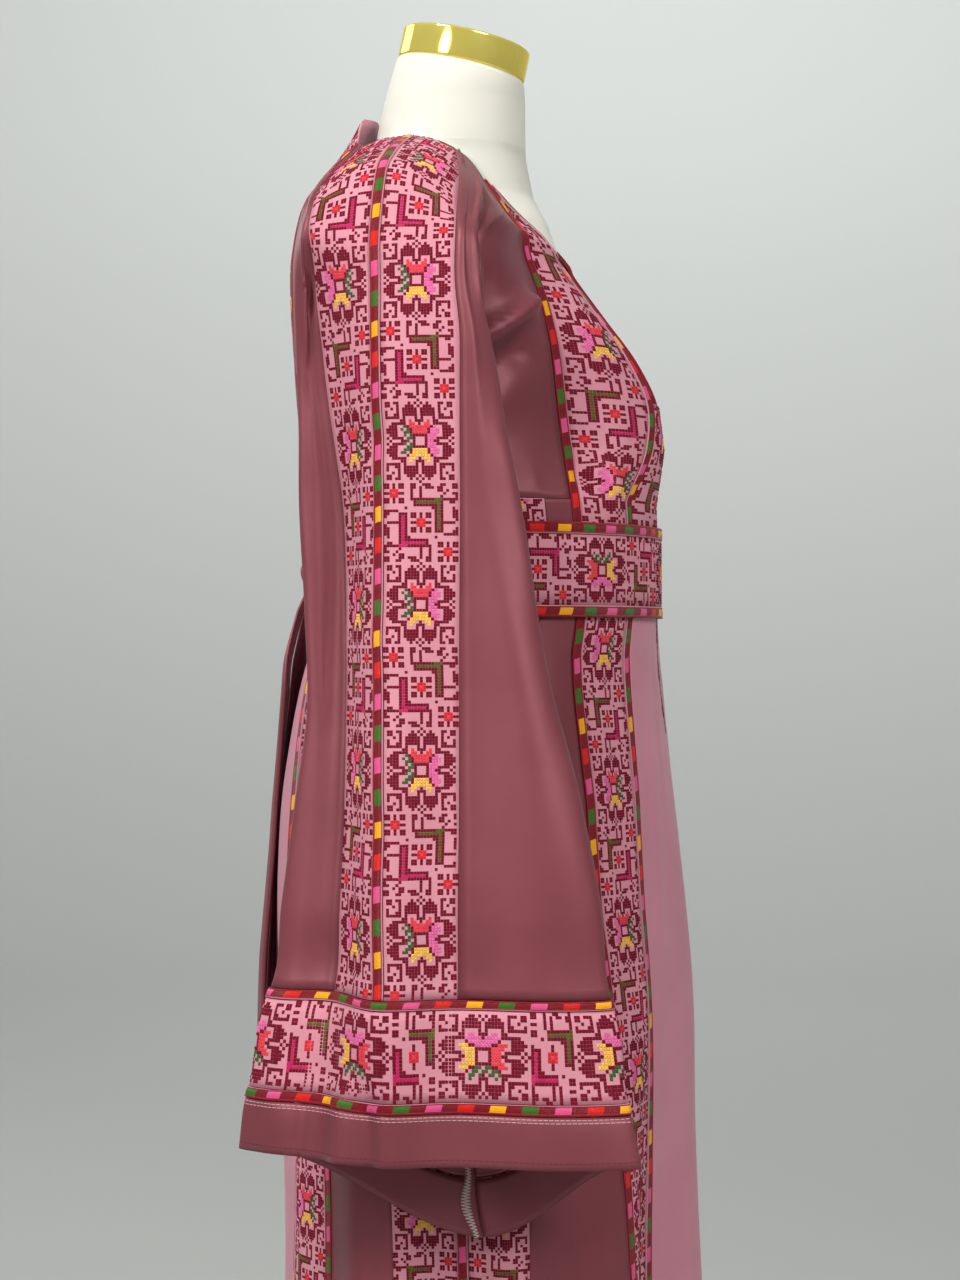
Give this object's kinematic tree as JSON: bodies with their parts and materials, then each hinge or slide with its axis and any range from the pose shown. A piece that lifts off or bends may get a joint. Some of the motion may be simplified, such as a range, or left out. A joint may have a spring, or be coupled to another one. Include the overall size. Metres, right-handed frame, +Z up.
{
  "type": "palestinian thobe dress on a dress form",
  "caption": "Long embroidered Palestinian thobe with wide sleeves and a stitched belt, worn by a limbless linen dress form on a stand.",
  "frame": {"origin": "centre of the stand's foot, on the floor", "axes": "+Z up, the front of the dress faces -Y, the wearer's right side is -X"},
  "size_m": [0.6466, 0.43, 1.5403],
  "materials": {
    "satin": "mauve satin, soft shine",
    "pink_cloth": "light pink satin",
    "stitched": "light pink cloth covered in burgundy cross stitch",
    "braid": "burgundy satin-stitched braid with coloured blocks",
    "form_linen": "matt off-white linen cover",
    "gold": "polished"
  },
  "bodies": {
    "root": {"back_piece_left": "satin", "back_piece_right": "satin", "belt": "stitched", "belt_tie": "satin", "bodice_back_braid_left": "braid", "bodice_back_braid_right": "braid", "bodice_back_centre": "pink_cloth", "bodice_back_strip_left": "stitched", "bodice_back_strip_right": "stitched", "bodice_front_braid_left": "braid", "bodice_front_braid_right": "braid", "bodice_front_insert": "stitched", "bodice_front_strip_left": "stitched", "bodice_front_strip_right": "stitched", "cuff_band_left": "stitched", "cuff_band_right": "stitched", "cuff_hem_left": "satin", "cuff_hem_right": "satin", "cuff_lower_braid_left": "braid", "cuff_lower_braid_right": "braid", "cuff_top_braid_left": "braid", "cuff_top_braid_right": "braid", "form_body": "form_linen", "form_cap": "gold", "form_stand": "gold", "front_piece_left": "satin", "front_piece_right": "satin", "neck_braid_left": "braid", "neck_braid_right": "braid", "skirt_back_centre": "pink_cloth", "skirt_back_inner_braid_left": "braid", "skirt_back_inner_braid_right": "braid", "skirt_back_outer_braid_left": "braid", "skirt_back_outer_braid_right": "braid", "skirt_back_strip_left": "stitched", "skirt_back_strip_right": "stitched", "skirt_front_centre": "pink_cloth", "skirt_front_inner_braid_left": "braid", "skirt_front_inner_braid_right": "braid", "skirt_front_outer_braid_left": "braid", "skirt_front_outer_braid_right": "braid", "skirt_front_strip_left": "stitched", "skirt_front_strip_right": "stitched", "skirt_side_back_left": "satin", "skirt_side_back_right": "satin", "skirt_side_braid_left": "braid", "skirt_side_braid_right": "braid", "skirt_side_front_left": "satin", "skirt_side_front_right": "satin", "skirt_side_strip_back_left": "stitched", "skirt_side_strip_back_right": "stitched", "skirt_side_strip_front_left": "stitched", "skirt_side_strip_front_right": "stitched", "sleeve_back_strip_left": "stitched", "sleeve_back_strip_right": "stitched", "sleeve_braid_left": "braid", "sleeve_braid_right": "braid", "sleeve_front_strip_left": "stitched", "sleeve_front_strip_right": "stitched"}
  },
  "joints": []
}
